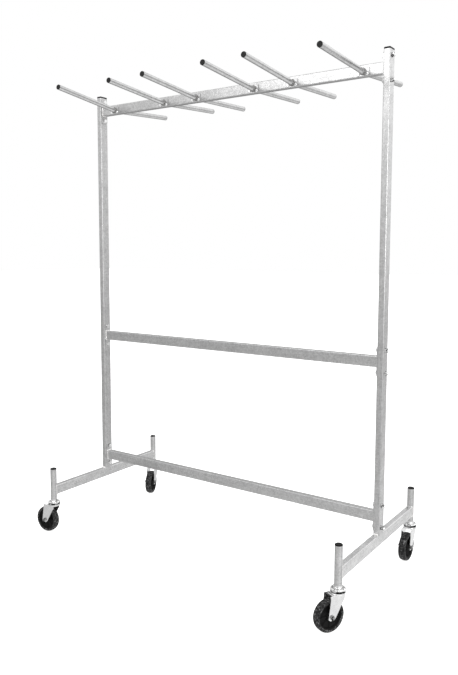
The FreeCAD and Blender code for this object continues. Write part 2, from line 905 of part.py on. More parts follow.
def make_fork(key):
    """The bent fork: a crown plate with the lower race and two legs that narrow to the axle.

    Behind the race the crown is cut away, so the legs stand free there."""
    body = new_body("caster_%s_fork" % key)
    side = new_sketch(body, "XZ_Plane")
    front = "-crown_front"
    back = "caster_trail + crown_overhang"
    shoulder = "crown_height - crown_side"
    foot_top = AXLE_HEIGHT + " - fork_bend"
    foot_bottom = AXLE_HEIGHT + " - fork_foot_drop"
    outline(
        side,
        [
            (front, "crown_height"),
            (front, shoulder),
            ("caster_trail - fork_foot_width / 2", foot_top),
            ("caster_trail - fork_foot_width / 4", foot_bottom),
            ("caster_trail + fork_foot_width / 4", foot_bottom),
            ("caster_trail + fork_foot_width / 2", foot_top),
            (back, shoulder),
            (back, "crown_height"),
        ],
    )
    pad(body, side, "fork_width", symmetric=True)
    soften_fork(body)
    gap = new_sketch(body, "YZ_Plane")
    half_gap = FORK_GAP + " / 2"
    outline(
        gap,
        [
            ("-" + half_gap, "0"),
            (half_gap, "0"),
            (half_gap, "crown_height - crown_plate"),
            ("-" + half_gap, "crown_height - crown_plate"),
        ],
    )
    pocket(body, gap, symmetric=True)
    notch = new_sketch(body, "XY_Plane", offset="crown_height")
    notch_start = "race_diameter / 2 + small_edge"
    notch_end = back + " + small_edge"
    outline(
        notch,
        [
            (notch_start, "-" + half_gap),
            (notch_end, "-" + half_gap),
            (notch_end, half_gap),
            (notch_start, half_gap),
        ],
    )
    pocket(body, notch, "crown_plate")
    race = new_sketch(body, "XY_Plane", offset="crown_height - crown_plate")
    circle(race, "race_diameter")
    pad(body, race, "2 * crown_plate")
    holes = new_sketch(body, "XY_Plane")
    circle(holes, "kingpin_diameter + 2 * running_gap")
    pocket(body, holes, backward=True)
    axle = new_sketch(body, "XZ_Plane")
    circle(axle, "axle_diameter + 4 * running_gap", x="caster_trail", y=AXLE_HEIGHT)
    pocket(body, axle, symmetric=True)
    return place_caster_piece(body, key)


def soften_fork(body):
    """Round the foot of the legs and the long bends beside the crown."""
    axle_height = value(AXLE_HEIGHT)
    dress(
        body,
        "Fillet",
        "fork_bend",
        lambda edge: runs_along(edge, Y_DIRECTION) and edge.BoundBox.ZMax < axle_height,
    )
    top = value("crown_height")
    dress(
        body,
        "Fillet",
        "fork_plate",
        lambda edge: runs_along(edge, X_DIRECTION) and lies_at(edge, 2, top),
    )


def make_axle(key):
    """Axle bolt, nut and the fixed bush that the wheel turns on, as three solids."""
    name = "caster_%s_" % key
    seat = "fork_width / 2"
    length = "fork_width + axle_nut_height + 3 * hex_bevel"
    bolt = hex_bolt(name + "axle_bolt", "axle_diameter", length)
    place(bolt, "caster_trail", seat, AXLE_HEIGHT, "90", X_DIRECTION)
    nut = hex_nut(name + "axle_nut", "axle_diameter", "large_hex_flats", "axle_nut_height")
    place(nut, "caster_trail", "-" + seat, AXLE_HEIGHT, "90", X_DIRECTION)
    bush = new_body(name + "axle_bush")
    ring = new_sketch(bush, "XZ_Plane")
    circle(ring, "bush_diameter", x="caster_trail", y=AXLE_HEIGHT)
    circle(ring, "axle_diameter", x="caster_trail", y=AXLE_HEIGHT)
    pad(bush, ring, FORK_GAP, symmetric=True)
    compound = doc.addObject("Part::Compound", name + "axle")
    compound.Links = [bolt, nut, bush]
    return place_caster_piece(compound, key)


def make_core(key):
    """The wheel's core: hub, web and rim, turned about the axle."""
    body = new_body("caster_%s_core" % key)
    profile = new_sketch(body, "XY_Plane", offset=AXLE_HEIGHT)
    bore = "(bush_diameter / 2 + running_gap)"
    hub = "(hub_diameter / 2)"
    rim = "(wheel_diameter / 2 - tyre_depth)"
    hub_half = "(%s / 2 - turning_gap)" % FORK_GAP
    rim_half = "(tread_width / 2 - 2 * small_edge)"
    web_half = "(web_thickness / 2)"
    upper = [
        (bore, hub_half),
        (hub + " - small_edge", hub_half),
        (hub, hub_half + " - small_edge"),
        (hub + " + small_edge", web_half + " + 2 * small_edge"),
        (hub + " + 3 * small_edge", web_half),
        (rim + " - 6 * small_edge", web_half),
        (rim + " - 4 * small_edge", web_half + " + 2 * small_edge"),
        (rim + " - 3 * small_edge", rim_half),
        (rim, rim_half),
    ]
    lower = [(radius, "-(%s)" % across) for radius, across in reversed(upper)]
    outline(profile, [("caster_trail + " + radius, across) for radius, across in upper + lower])
    spin_about_axle(body, profile)
    return place_caster_piece(body, key)


def spin_about_axle(body, profile):
    """Turn a profile about the axle line, which is drawn as the sketch's own helper line."""
    trail = value("caster_trail")
    start = FreeCAD.Vector(trail, -1, 0)
    end = FreeCAD.Vector(trail, 1, 0)
    index = profile.GeometryCount
    profile.addGeometry(Part.LineSegment(start, end), True)
    bind(profile, Sketcher.Constraint("DistanceX", -1, 1, index, 1, trail), "caster_trail")
    bind(profile, Sketcher.Constraint("DistanceX", -1, 1, index, 2, trail), "caster_trail")
    profile.addConstraint(Sketcher.Constraint("DistanceY", -1, 1, index, 1, -1.0))
    profile.addConstraint(Sketcher.Constraint("DistanceY", -1, 1, index, 2, 1.0))
    feature = body.newObject("PartDesign::Revolution", body.Label + "_revolution")
    feature.Profile = profile
    feature.ReferenceAxis = (profile, ["Axis0"])
    feature.Angle = 360
    return finish_feature(body, feature, profile)


def make_tyre(key):
    """The rubber tyre, with rounded shoulders."""
    body = new_body("caster_%s_tyre" % key)
    profile = new_sketch(body, "XY_Plane", offset=AXLE_HEIGHT)
    inner = "(caster_trail + wheel_diameter / 2 - tyre_depth)"
    outer = "(caster_trail + wheel_diameter / 2)"
    half = "(tread_width / 2)"
    upper = [
        (inner, half + " - 2 * small_edge"),
        (inner + " + 2 * small_edge", half),
        (outer + " - tyre_shoulder", half),
        (outer + " - 0.3 * tyre_shoulder", half + " - 0.6 * tyre_shoulder"),
        (outer, half + " - 1.8 * tyre_shoulder"),
    ]
    lower = [(radius, "-(%s)" % across) for radius, across in reversed(upper)]
    outline(profile, upper + lower)
    spin_about_axle(body, profile)
    return place_caster_piece(body, key)


def make_casters():
    for key in CASTERS:
        make_stem(key)
        make_balls(key)
        make_fork(key)
        make_axle(key)
        make_core(key)
        make_tyre(key)


# ---------------------------------------------------------------------------
# Checking and writing


def check_document():
    """Stop at any object that failed, or any node without a valid solid."""
    for item in doc.Objects:
        if "Invalid" in item.State or "Error" in item.State:
            raise RuntimeError("%s failed: %s" % (item.Label, item.State))
    for label, item in nodes.items():
        shape = item.Shape
        if shape.isNull() or not shape.isValid() or not shape.Solids:
            raise RuntimeError("%s has no valid solid" % label)


def write_nodes():
    os.makedirs("parts", exist_ok=True)
    for label, item in nodes.items():
        item.Shape.exportStep("parts/%s.step" % label)
        box = item.Shape.BoundBox
        print(
            "%-22s %2d solid(s)  x %8.1f %8.1f  y %7.1f %7.1f  z %7.1f %7.1f"
            % (label, len(item.Shape.Solids), box.XMin, box.XMax, box.YMin, box.YMax, box.ZMin, box.ZMax)
        )


fill_sheet()
make_frame()
make_arms()
make_casters()
doc.recompute()
check_document()
write_nodes()
print("%d nodes" % len(nodes))
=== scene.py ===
import json
import math

import bmesh
import bpy
from mathutils import Matrix, Vector


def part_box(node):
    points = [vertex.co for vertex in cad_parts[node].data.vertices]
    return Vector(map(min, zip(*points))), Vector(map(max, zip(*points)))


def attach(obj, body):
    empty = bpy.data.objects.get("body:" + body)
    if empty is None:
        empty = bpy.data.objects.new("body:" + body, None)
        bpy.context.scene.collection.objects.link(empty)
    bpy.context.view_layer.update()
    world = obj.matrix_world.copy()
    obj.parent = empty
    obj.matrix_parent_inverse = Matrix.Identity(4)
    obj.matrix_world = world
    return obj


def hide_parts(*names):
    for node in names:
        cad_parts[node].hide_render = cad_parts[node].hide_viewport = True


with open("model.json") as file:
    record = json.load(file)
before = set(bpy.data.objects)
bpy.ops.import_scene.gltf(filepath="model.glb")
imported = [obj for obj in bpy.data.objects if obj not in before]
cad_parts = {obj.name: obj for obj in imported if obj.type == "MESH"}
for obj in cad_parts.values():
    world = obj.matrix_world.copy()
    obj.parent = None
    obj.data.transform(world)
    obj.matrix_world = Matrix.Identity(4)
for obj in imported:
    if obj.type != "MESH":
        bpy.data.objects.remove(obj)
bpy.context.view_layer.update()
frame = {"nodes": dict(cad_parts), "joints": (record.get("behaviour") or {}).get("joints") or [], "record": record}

# A bright steel clothes rack on four casters. Everything is in metres in the rack's own frame:
# +Z up, +X along the rails, the front arms towards -Y.

MM = 0.001
CORNERS = ("fl", "fr", "rl", "rr")
SPELT_OUT = {"fl": "front_left", "fr": "front_right", "rl": "rear_left", "rr": "rear_right"}
RAILS = ("top_rail", "middle_rail", "bottom_rail")
X, Y, Z = 0, 1, 2


# ---------------------------------------------------------------------------
# Measures taken from the frame


def joint(name):
    return next(item for item in frame["joints"] if item["name"] == name)


def mount(name):
    return next(item for item in frame["record"]["mounts"] if item["name"] == name)


def wheel_centre(corner):
    return Vector(joint("wheel_spin_" + SPELT_OUT[corner])["pos_m"])


def wheel_axle(corner):
    return Vector(joint("wheel_spin_" + SPELT_OUT[corner])["axis"]).normalized()


def wheel_radius(node):
    low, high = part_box(node)
    return (high[Z] - low[Z]) / 2


# ---------------------------------------------------------------------------
# Materials

# Texture scales, in repeats per metre, from the broadest to the finest.
FLOOR_CLOUD = 0.8
FLOOR_SHEEN = 2.0
MOTTLE = 38.0
HAZE = 55.0
DUST = 60.0
SHADE_PATCH = 75.0
DENT = 90.0
PLASTIC_CLOUD = 120.0
WORN = 140.0
RUBBER_SHEEN = 160.0
SPOTS = 170.0
SPANGLE = 190.0
ROOT_SHADE_PATCH = 210.0
HEAT_TINT = 240.0
PEEL = 260.0
PLASTIC_SHEEN = 300.0
BALL_SHEEN = 400.0
WELD_SHEEN = 500.0
RUBBER_GRAIN = 650.0
CORE_GRAIN = 700.0
TURNED_SHEEN = 700.0
PLASTIC_GRAIN = 900.0
TURNING = 1100.0
PITS = 1400.0
# The same for drawing marks, which are fine across the tube and long along it.
STREAKS = (420.0, 5.0)
DRAWING = (300.0, 9.0)
DRAWING_LINES = (900.0, 14.0)

# The two colour inputs of a Mix node, and its colour output, have names that other sockets share.
FIRST_COLOUR, SECOND_COLOUR = 6, 7
MIXED_COLOUR = 2


def colour_ramp(tree, factor, stops):
    """A ramp through stops, each a position and a grey level or a colour."""
    item = tree.nodes.new("ShaderNodeValToRGB")
    elements = item.color_ramp.elements
    while len(elements) < len(stops):
        elements.new(0.5)
    for element, (position, colour) in zip(elements, stops):
        element.position = position
        if not isinstance(colour, tuple):
            colour = (colour, colour, colour)
        element.color = (*colour, 1.0)
    tree.links.new(factor, item.inputs["Fac"])
    return item.outputs["Color"]


def multiply_colours(tree, first, second):
    item = tree.nodes.new("ShaderNodeMix")
    item.data_type = "RGBA"
    item.blend_type = "MULTIPLY"
    item.inputs["Factor"].default_value = 1.0
    tree.links.new(first, item.inputs[FIRST_COLOUR])
    tree.links.new(second, item.inputs[SECOND_COLOUR])
    return item.outputs[MIXED_COLOUR]


class Look:
    """A material with a Principled shader, and short calls that add texture nodes to it."""

    def __init__(self, name, **sockets):
        self.material = bpy.data.materials.new(name)
        self.material.use_nodes = True
        self.tree = self.material.node_tree
        self.shader = self.tree.nodes["Principled BSDF"]
        for socket, number in sockets.items():
            self.shader.inputs[socket.replace("_", " ")].default_value = number
        self.place = self.tree.nodes.new("ShaderNodeTexCoord").outputs["Object"]

    def node(self, kind, **values):
        item = self.tree.nodes.new("ShaderNode" + kind)
        for socket, number in values.items():
            item.inputs[socket.replace("_", " ")].default_value = number
        return item

    def link(self, start, end):
        self.tree.links.new(start, end)

    def stretched(self, scale):
        """Coordinates in metres, multiplied by a scale along each axis."""
        mapping = self.node("Mapping", Scale=scale)
        self.link(self.place, mapping.inputs["Vector"])
        return mapping.outputs["Vector"]

    def noise(self, scale, detail=4.0, roughness=0.55):
        item = self.node("TexNoise", Scale=1.0, Detail=detail, Roughness=roughness)
        self.link(self.stretched(scale), item.inputs["Vector"])
        return item.outputs["Fac"]

    def cells(self, scale):
        item = self.node("TexVoronoi", Scale=1.0)
        self.link(self.stretched(scale), item.inputs["Vector"])
        return item.outputs["Color"]

    def ramp(self, factor, stops):
        return colour_ramp(self.tree, factor, stops)

    def multiply(self, first, second):
        return multiply_colours(self.tree, first, second)

    def mix(self, factor, first, second):
        """The first colour where the factor is zero, and the second where it is one."""
        item = self.tree.nodes.new("ShaderNodeMix")
        item.data_type = "RGBA"
        self.link(factor, item.inputs["Factor"])
        self.link(first, item.inputs[FIRST_COLOUR])
        self.link(second, item.inputs[SECOND_COLOUR])
        return item.outputs[MIXED_COLOUR]

    def range(self, factor, low, high):
        item = self.node("MapRange", To_Min=low, To_Max=high)
        self.link(factor, item.inputs["Value"])
        return item.outputs["Result"]

    def between(self, axis, low, high, edge):
        """One between two places along an axis, and zero outside them."""
        parts = self.node("SeparateXYZ")
        self.link(self.place, parts.inputs["Vector"])
        masks = []
        for start, end in ((low - edge, low + edge), (high + edge, high - edge)):
            item = self.node("MapRange", From_Min=start, From_Max=end)
            self.link(parts.outputs[axis], item.inputs["Value"])
            masks.append(item.outputs["Result"])
        both = self.node("Math")
        both.operation = "MULTIPLY"
        for index, mask in enumerate(masks):
            self.link(mask, both.inputs[index])
        return both.outputs[0]

    def colour(self, output):
        self.link(output, self.shader.inputs["Base Color"])

    def roughness(self, output):
        self.link(output, self.shader.inputs["Roughness"])

    def bump(self, height, strength, distance):
        """Add a bump on top of any bump the shader already has."""
        item = self.node("Bump", Strength=strength, Distance=distance)
        self.link(height, item.inputs["Height"])
        normal = self.shader.inputs["Normal"]
        if normal.links:
            self.link(normal.links[0].from_socket, item.inputs["Normal"])
        self.link(item.outputs["Normal"], normal)


def along(axis, scales):
    """A texture scale that is fine across an axis and coarse along it, so it draws streaks."""
    fine, coarse = scales
    return tuple(coarse if letter == axis else fine for letter in "xyz")


def even(scale):
    return (scale, scale, scale)


def zinc_plating(look, axis, tone):
    """The colour of satin zinc plate on drawn tube: spangle, mottling and drawing streaks."""
    mottle = look.ramp(look.noise(even(MOTTLE)), [(0.3, tone * 0.93), (0.7, tone * 1.07)])
    streaks = look.ramp(look.noise(along(axis, STREAKS)), [(0.3, 0.88), (0.75, 1.0)])
    spangle = look.ramp(look.cells(even(SPANGLE)), [(0.15, 0.8), (0.85, 1.0)])
    return look.multiply(look.multiply(mottle, streaks), spangle)


def zinc_finish(look, axis):
    """The gloss of zinc plate, with fine drawing lines and a faint orange peel."""
    look.roughness(look.range(look.noise(along(axis, DRAWING)), 0.22, 0.36))
    look.bump(look.noise(along(axis, DRAWING_LINES)), 0.16, 0.4 * MM)
    look.bump(look.noise(even(PEEL), detail=2.0), 0.08, 0.6 * MM)


def zinc_tube(name, axis, tone=0.67):
    """Zinc-plated tube that was drawn along an axis."""
    look = Look(name, Metallic=1.0)
    look.colour(zinc_plating(look, axis, tone))
    zinc_finish(look, axis)
    return look.material


def arm_tube(name, plate, shade_reach, tone=0.63):
    """Zinc-plated arm with painted shade round its root, near-black between the foot plate and the shade's end."""
    look = Look(name, Metallic=1.0)
    plating = zinc_plating(look, "y", tone)
    # Near-black painted shade round the arm's root, where it meets the rail.
    root_shade = look.ramp(
        look.noise(even(ROOT_SHADE_PATCH)),
        [(0.35, (0.09, 0.087, 0.083)), (0.6, (0.26, 0.25, 0.24))],
    )
    near_rail = look.between(Y, -shade_reach, shade_reach, 2 * MM)
    on_plate = look.between(Y, -plate, plate, 0.2 * MM)
    look.colour(look.mix(on_plate, look.mix(near_rail, plating, root_shade), plating))
    zinc_finish(look, "y")
    return look.material


def bright_plate(name, tone=0.8, smoothest=0.12, roughest=0.26):
    """Polished plating on pressed sheet, with soft unevenness from the press."""
    look = Look(name, Metallic=1.0)
    haze = look.noise(even(HAZE))
    look.colour(look.ramp(haze, [(0.3, tone * 0.94), (0.7, tone * 1.05)]))
    look.roughness(look.range(look.noise(even(WORN)), smoothest, roughest))
    look.bump(look.noise(even(DENT), detail=2.0), 0.12, 0.8 * MM)
    return look.material


def race_plate(name, low, high):
    """Polished, spotted plating with patches of painted shade where the balls run."""
    look = Look(name, Metallic=1.0)
    spots = look.noise(even(SPOTS), detail=2.0)
    plate = look.ramp(spots, [(0.36, 0.12), (0.46, 0.86), (0.7, 0.95)])
    # Near-black painted shade in patches on the ball track, the gap where the balls run.
    track_shade = look.ramp(look.noise(even(SHADE_PATCH), detail=1.0), [(0.46, 0.02), (0.56, 0.6)])
    on_track = look.between(Z, low, high, 0.4 * MM)
    look.colour(look.mix(on_track, plate, track_shade))
    look.roughness(look.range(look.noise(even(WORN)), 0.12, 0.28))
    look.bump(look.noise(even(DENT), detail=2.0), 0.12, 0.8 * MM)
    return look.material


def shaded_balls(name):
    """Polished steel balls, near-black with painted shade in the same patches as the race."""
    look = Look(name, Metallic=1.0)
    # Painted shade in the same patches as the race.
    look.colour(look.ramp(look.noise(even(SHADE_PATCH), detail=1.0), [(0.46, 0.08), (0.56, 0.8)]))
    look.roughness(look.range(look.noise(even(BALL_SHEEN)), 0.08, 0.16))
    return look.material


def weld_metal(name, tone=1.0):
    """Weld bead with a trace of heat tint and tiny pits. A low tone darkens it with painted shade."""
    look = Look(name, Metallic=1.0)
    tints = [(0.25, (0.6, 0.59, 0.57)), (0.45, (0.84, 0.83, 0.82)), (0.7, (0.97, 0.97, 0.97))]
    stops = [(place, tuple(tone * level for level in tint)) for place, tint in tints]
    look.colour(look.ramp(look.noise(even(HEAT_TINT)), stops))
    look.roughness(look.range(look.noise(even(WELD_SHEEN)), 0.12, 0.3))
    look.bump(look.noise(even(PITS)), 0.4, 0.3 * MM)
    return look.material


def hardware(name, tone=1.0):
    """Zinc-plated bolts and nuts with near-black patches at random and fine turning marks."""
    look = Look(name, Metallic=1.0)
    # Near-black patches at random over the plating.
    dark_patches = look.noise(even(PEEL))
    look.colour(look.ramp(dark_patches, [(0.46, 0.04 * tone), (0.54, 0.97 * tone)]))
    look.roughness(look.range(look.noise(even(TURNED_SHEEN)), 0.08, 0.24))
    look.bump(look.noise(even(TURNING)), 0.2, 0.2 * MM)
    return look.material


def moulded_plastic(name, tone, smoothest=0.35, roughest=0.55, grain=PLASTIC_GRAIN):
    """Black moulded plastic with a fine spark-eroded grain."""
    look = Look(name, Specular_IOR_Level=0.1)
    cloud = look.noise(even(PLASTIC_CLOUD))
    look.colour(look.ramp(cloud, [(0.3, tone * 0.8), (0.7, tone * 1.25)]))
    look.roughness(look.range(look.noise(even(PLASTIC_SHEEN)), smoothest, roughest))
    look.bump(look.noise(even(grain), detail=2.0), 0.25, 0.3 * MM)
    return look.material


def tyre_rubber(name):
    """Black rubber with a dusty tread and scuffs."""
    look = Look(name, Specular_IOR_Level=0.22)
    dust = look.ramp(look.noise(even(DUST), detail=8.0), [(0.4, 0.25), (0.7, 1.0)])
    scuffs = look.ramp(
        look.noise(even(SPOTS), detail=3.0),
        [(0.45, 0.012), (0.56, 0.09), (0.68, 0.28)],
    )
    look.colour(look.multiply(dust, scuffs))
    look.roughness(look.range(look.noise(even(RUBBER_SHEEN)), 0.42, 0.68))
    look.bump(look.noise(even(RUBBER_GRAIN)), 0.35, 0.5 * MM)
    return look.material


def floor_paint(name):
    """A plain white studio floor, which glows a little and is very slightly uneven."""
    look = Look(name, Emission_Color=(1, 1, 1, 1), Emission_Strength=0.7)
    look.colour(look.ramp(look.noise(even(FLOOR_CLOUD)), [(0.3, 0.93), (0.7, 0.95)]))
    look.roughness(look.range(look.noise(even(FLOOR_SHEEN)), 0.75, 0.85))
    return look.material


# The heights between which the balls run, with some room for the painted shade to spread.
SHADE_ROOM = 1 * MM
TRACK_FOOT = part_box("caster_fr_balls")[0][Z] - SHADE_ROOM
TRACK_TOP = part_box("caster_fr_balls")[1][Z] + SHADE_ROOM

# How far the arms' foot plates, and the painted shade round the arms' roots, reach from the middle of the rail.
FOOT_PLATE = 3.2 * MM
SHADE_SPREAD = 4 * MM
PLATE_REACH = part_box("top_rail")[1][Y] + FOOT_PLATE
SHADE_REACH = PLATE_REACH + SHADE_SPREAD

LOOKS = {
    "tube_x": zinc_tube("zinc_tube_along_x", "x"),
    "tube_y": zinc_tube("zinc_tube_along_y", "y", 0.76),
    "arm": arm_tube("arm_tube", PLATE_REACH, SHADE_REACH),
    # The arms' weld beads are darkened with painted shade.
    "shaded_arm_weld": weld_metal("shaded_arm_weld", 0.35),
    "tube_z": zinc_tube("zinc_tube_along_z", "z"),
    "plate": bright_plate("bright_plate"),
    "race": race_plate("race_plate", TRACK_FOOT, TRACK_TOP),
    "balls": shaded_balls("shaded_balls"),
    "weld": weld_metal("weld_metal"),
    "hardware": hardware("plated_hardware"),
    "axle": hardware("axle_hardware", 0.45),
    "bolt": bright_plate("bolt_heads", 0.93, 0.07, 0.16),
    "caps": moulded_plastic("black_caps", 0.006),
    "arm_caps": moulded_plastic("worn_arm_caps", 0.022),
    "core": moulded_plastic("wheel_core_plastic", 0.008, 0.4, 0.6, CORE_GRAIN),
    "rubber": tyre_rubber("tyre_rubber"),
    "floor": floor_paint("studio_floor"),
}

SLOT_LOOKS = {
    "tyre_rubber": "rubber",
    "wheel_core": "core",
    "fork_steel": "plate",
    "race_steel": "race",
    "ball_steel": "balls",
    "axle_steel": "axle",
    "black_caps": "caps",
    "sleeve_plastic": "caps",
    "weld_metal": "weld",
    "fasteners": "hardware",
    "arm_steel": "arm",
    "socket_steel": "tube_z",
    "tube_steel": "tube_x",
}

NODE_LOOKS = {
    "left_post": "tube_z",
    "right_post": "tube_z",
    "left_leg": "tube_y",
    "right_leg": "tube_y",
    "rail_end_plates": "tube_z",
    "rail_bolts": "bolt",
    "arm_bolts": "bolt",
    "arm_caps": "arm_caps",
}


def paint(item, look):
    item.data.materials.clear()
    item.data.materials.append(LOOKS[look])


def paint_cad_nodes():
    for part in frame["record"]["subparts"]:
        node = part["node"]
        look = NODE_LOOKS.get(node, SLOT_LOOKS[part["material_slot"]])
        for slot in frame["nodes"][node].material_slots:
            slot.material = LOOKS[look]


def soften_cad_edges():
    """A small bevel on the sharp edges of the steel and plastic, to catch the light."""
    edge_width = 0.4 * MM
    sharp_angle = math.radians(40)
    for node in frame["nodes"].values():
        bevel = node.modifiers.new("soft_edges", "BEVEL")
        bevel.width = edge_width
        bevel.segments = 2
        bevel.limit_method = "ANGLE"
        bevel.angle_limit = sharp_angle
        bevel.harden_normals = True


# ---------------------------------------------------------------------------
# Mesh tools


def add_piece(name, mesh, look, body):
    """Put a finished mesh into the scene as a piece that rides on a CAD body."""
    item = bpy.data.objects.new(name, mesh)
    bpy.context.scene.collection.objects.link(item)
    paint(item, look)
    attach(item, body)
    return item


def mesh_from(name, build):
    """A mesh that a function fills through bmesh, with outward normals and smooth faces."""
    mesh = bpy.data.meshes.new(name)
    work = bmesh.new()
    build(work)
    bmesh.ops.remove_doubles(work, verts=work.verts, dist=1e-6)
    bmesh.ops.recalc_face_normals(work, faces=work.faces)
    for face in work.faces:
        face.smooth = True
    work.to_mesh(mesh)
    work.free()
    return mesh


def turn_to(axis):
    """The rotation that takes +Z to an axis."""
    return axis.to_track_quat("Z", "Y").to_matrix()


def spoke_at(angle):
    return Vector((math.cos(angle), math.sin(angle), 0))


def lathe(work, profile, centre, axis, steps):
    """Turn a closed profile of (radius, distance along the axis) about an axis."""
    turn = turn_to(axis)
    rings = []
    for step in range(steps):
        spoke = spoke_at(2 * math.pi * step / steps)
        ring = []
        for radius, distance in profile:
            local = spoke * radius + Vector((0, 0, distance))
            ring.append(work.verts.new(centre + turn @ local))
        rings.append(ring)
    count = len(profile)
    for step in range(steps):
        here = rings[step]
        there = rings[(step + 1) % steps]
        for index in range(count):
            following = (index + 1) % count
            work.faces.new((here[index], here[following], there[following], there[index]))


def bead(work, points, radius, closed):
    """A weld bead: a round ridge along a path, with the ripples of a hand-made weld."""
    sides = 10
    ripple_pitch = 1.7 * MM
    ripple_height = 0.13
    sway_length = 4.3 * MM
    sway_height = 0.05
    tapered_end = 0.35
    travelled = 0.0
    rings = []
    count = len(points)
    for index, here in enumerate(points):
        before = points[index - 1] if closed or index else here
        after = points[(index + 1) % count] if closed or index + 1 < count else here
        heading = (after - before).normalized()
        across = heading.orthogonal().normalized()
        other = heading.cross(across)
        if rings:
            travelled += (here - points[index - 1]).length
        ripple = 1 + ripple_height * abs(math.sin(math.pi * travelled / ripple_pitch))
        ripple += sway_height * math.sin(travelled / sway_length)
        if not closed and index in (0, count - 1):
            ripple = tapered_end
        ring = []
        for side in range(sides):
            angle = 2 * math.pi * side / sides
            offset = across * math.cos(angle) + other * math.sin(angle)
            ring.append(work.verts.new(here + offset * radius * ripple))
        rings.append(ring)
    join_rings(work, rings, closed)


def join_rings(work, rings, closed):
    """Skin a row of rings, lining each one up with its neighbour first."""
    sides = len(rings[0])
    for index in range(1, len(rings)):
        rings[index] = lined_up(rings[index - 1], rings[index])
    pairs = list(zip(rings, rings[1:]))
    if closed:
        pairs.append((rings[-1], lined_up(rings[-1], rings[0])))
    for here, there in pairs:
        for side in range(sides):
            following = (side + 1) % sides
            work.faces.new((here[side], here[following], there[following], there[side]))
    if not closed:
        work.faces.new(rings[0])
        work.faces.new(rings[-1])


def lined_up(previous, ring):
    """The same ring, started and turned so that it matches the previous one."""
    best = None
    smallest_gap = math.inf
    for order in (ring, ring[::-1]):
        for start in range(len(ring)):
            candidate = order[start:] + order[:start]
            gap = sum((a.co - b.co).length for a, b in zip(previous, candidate))
            if gap < smallest_gap:
                smallest_gap = gap
                best = candidate
    return best


def evenly(points, spacing, closed):
    """Points at an even spacing along a path of straight runs."""
    path = points + [points[0]] if closed else points
    result = []
    for start, end in zip(path, path[1:]):
        steps = max(1, round((end - start).length / spacing))
        for step in range(steps):
            result.append(start.lerp(end, step / steps))
    if not closed:
        result.append(path[-1])
    return result


# ---------------------------------------------------------------------------
# Wheels

TREAD_WIDTH = 26 * MM
TYRE_SHOULDER = 5.5 * MM
TYRE_CHAMFER = 2 * MM
GROOVE_DEPTH = 1 * MM
# Where the grooves lie and how far each one reaches either way, as shares of half the tread.
GROOVES = (-0.5, 0.0, 0.5)
GROOVE_REACH = 0.045
HUB_RADIUS = 13 * MM
HUB_WIDTH = 32 * MM
BORE_RADIUS = 6.05 * MM
WEB_THICKNESS = 7 * MM
RIM_WIDTH = 22 * MM
RIM_THICKNESS = 3 * MM
RIB_COUNT = 8
RIB_THICKNESS = 2.2 * MM
# How many flats a whole turn is drawn with.
TYRE_FLATS = 128
CORE_FLATS = 96


def tyre_profile(radius, half_width, depth):
    """A round-shouldered solid tyre with three thin grooves round the tread."""
    inside = radius - depth
    flatness = 0.7
    points = [(inside, -half_width + TYRE_CHAMFER), (inside + TYRE_CHAMFER, -half_width)]
    steps = 36
    for step in range(-steps, steps + 1):
        angle = math.pi / 2 * step / steps
        across = half_width * math.sin(angle)
        height = radius - TYRE_SHOULDER + TYRE_SHOULDER * math.cos(angle) ** flatness
        share = across / half_width
        if any(abs(share - groove) < GROOVE_REACH for groove in GROOVES):
            height -= GROOVE_DEPTH
        points.append((height, across))
    points += [(inside + TYRE_CHAMFER, half_width), (inside, half_width - TYRE_CHAMFER)]
    return points


def make_tyre(corner):
    node = "caster_%s_tyre" % corner
    place = SPELT_OUT[corner]
    centre = wheel_centre(corner)
    radius = wheel_radius(node)
    depth = radius - (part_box("caster_%s_core" % corner)[1][Z] - centre.z)
    profile = tyre_profile(radius, TREAD_WIDTH / 2, depth)

    def build(work):
        lathe(work, profile, centre, wheel_axle(corner), TYRE_FLATS)

    mesh = mesh_from(node + "_mesh", build)
    tyre = add_piece("tyre_" + place, mesh, "rubber", "wheel_" + place)
    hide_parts(node)


def core_profile(radius):
    """Half of a hub, web and rim, mirrored into a closed outline of (radius, distance)."""
    inside = radius - RIM_THICKNESS
    hub_chamfer = 1 * MM
    rim_chamfer = 0.8 * MM
    draft = 0.6 * MM
    fillet = 2 * MM
    fillet_top = WEB_THICKNESS / 2 + 1.5 * MM
    upper = [
        (BORE_RADIUS, HUB_WIDTH / 2),
        (HUB_RADIUS - hub_chamfer, HUB_WIDTH / 2),
        (HUB_RADIUS, HUB_WIDTH / 2 - hub_chamfer),
        (HUB_RADIUS + draft, fillet_top),
        (HUB_RADIUS + fillet, WEB_THICKNESS / 2),
        (inside - fillet, WEB_THICKNESS / 2),
        (inside - draft, fillet_top),
        (inside, RIM_WIDTH / 2 - rim_chamfer),
        (inside + rim_chamfer, RIM_WIDTH / 2),
        (radius, RIM_WIDTH / 2),
    ]
    return upper + [(distance, -across) for distance, across in reversed(upper)]


def make_rib(work, centre, turn, angle, outside):
    """A rib that stands on the web, lower in the middle than at the hub and the rim."""
    spoke = spoke_at(angle)
    across = Vector((-math.sin(angle), math.cos(angle), 0)) * RIB_THICKNESS / 2
    overlap = 1 * MM
    below_rim = 1 * MM
    dip = 3 * MM
    taper = 0.7
    steps = 8
    for side in (-1, 1):
        rings = []
        for step in range(steps + 1):
            share = step / steps
            reach = HUB_RADIUS - overlap + (outside - HUB_RADIUS + overlap) * share
            height = RIM_WIDTH / 2 - below_rim - dip * math.sin(math.pi * share)
            corners = [(-1, 0), (1, 0), (taper, height), (-taper, height)]
            ring = []
            for thick, up in corners:
                local = spoke * reach + across * thick + Vector((0, 0, side * up))
                ring.append(work.verts.new(centre + turn @ local))
            rings.append(ring)
        join_rings(work, rings, False)


